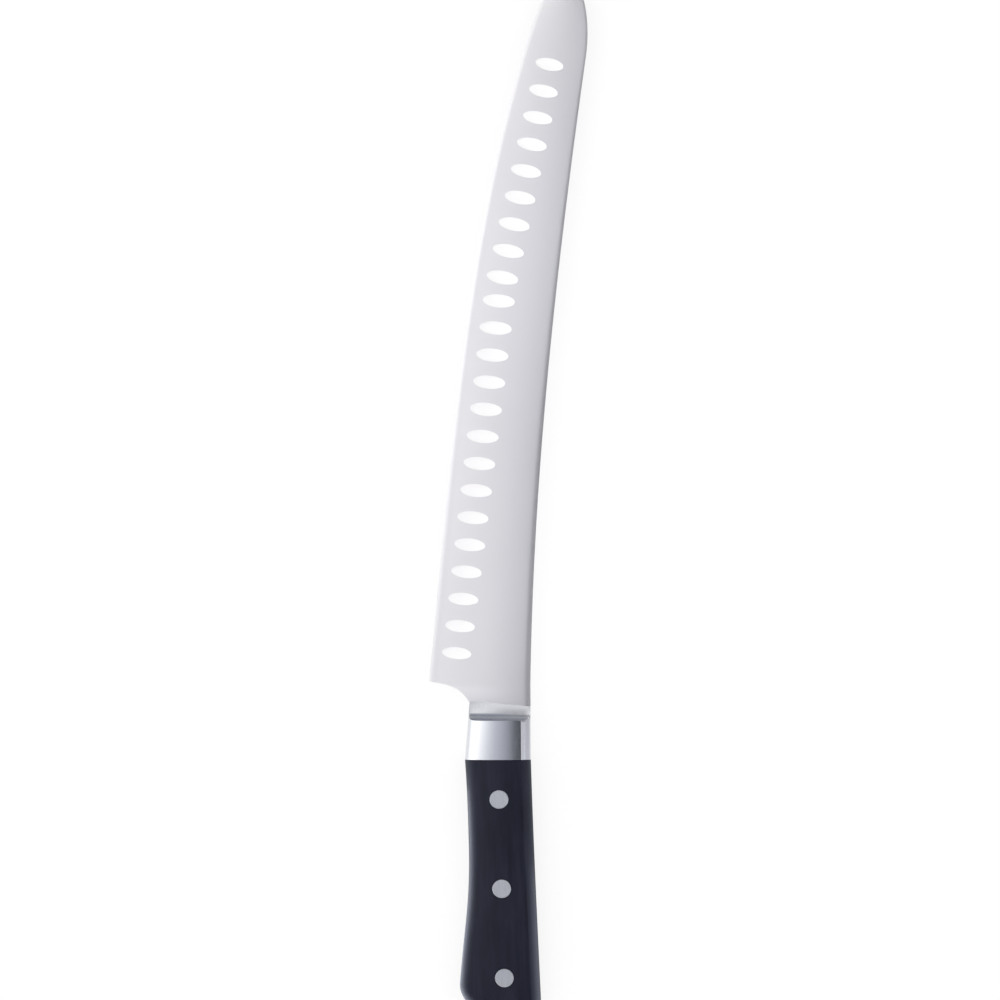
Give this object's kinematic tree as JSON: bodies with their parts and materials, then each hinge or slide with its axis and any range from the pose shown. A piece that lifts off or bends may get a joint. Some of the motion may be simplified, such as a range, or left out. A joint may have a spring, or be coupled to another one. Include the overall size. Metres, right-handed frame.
{
  "type": "carving knife",
  "caption": "Long slicing knife with a swept blade, oval ground hollows along the edge, a polished bolster and a riveted dark wood handle.",
  "frame": {"origin": "centre of the knife's bounding box in plan, on the surface that the handle's right scale lies on", "axes": "+Y along the knife towards the tip, +X towards the spine, -X towards the cutting edge, +Z out of the left flank, up from the surface"},
  "size_m": [0.0666, 0.3896, 0.0156],
  "materials": {
    "blade_steel": "fine satin ground steel, brighter in the hollows",
    "bolster_steel": "polished steel",
    "handle_wood": "black resin-filled laminated wood, satin",
    "rivet_metal": "satin nickel silver, ground flush"
  },
  "bodies": {
    "root": {"blade": "blade_steel", "bolster_left": "bolster_steel", "bolster_right": "bolster_steel", "scale_left": "handle_wood", "scale_right": "handle_wood", "front_rivet_stud": "rivet_metal", "front_rivet_sleeve": "rivet_metal", "middle_rivet_stud": "rivet_metal", "middle_rivet_sleeve": "rivet_metal", "rear_rivet_stud": "rivet_metal", "rear_rivet_sleeve": "rivet_metal"}
  },
  "joints": []
}
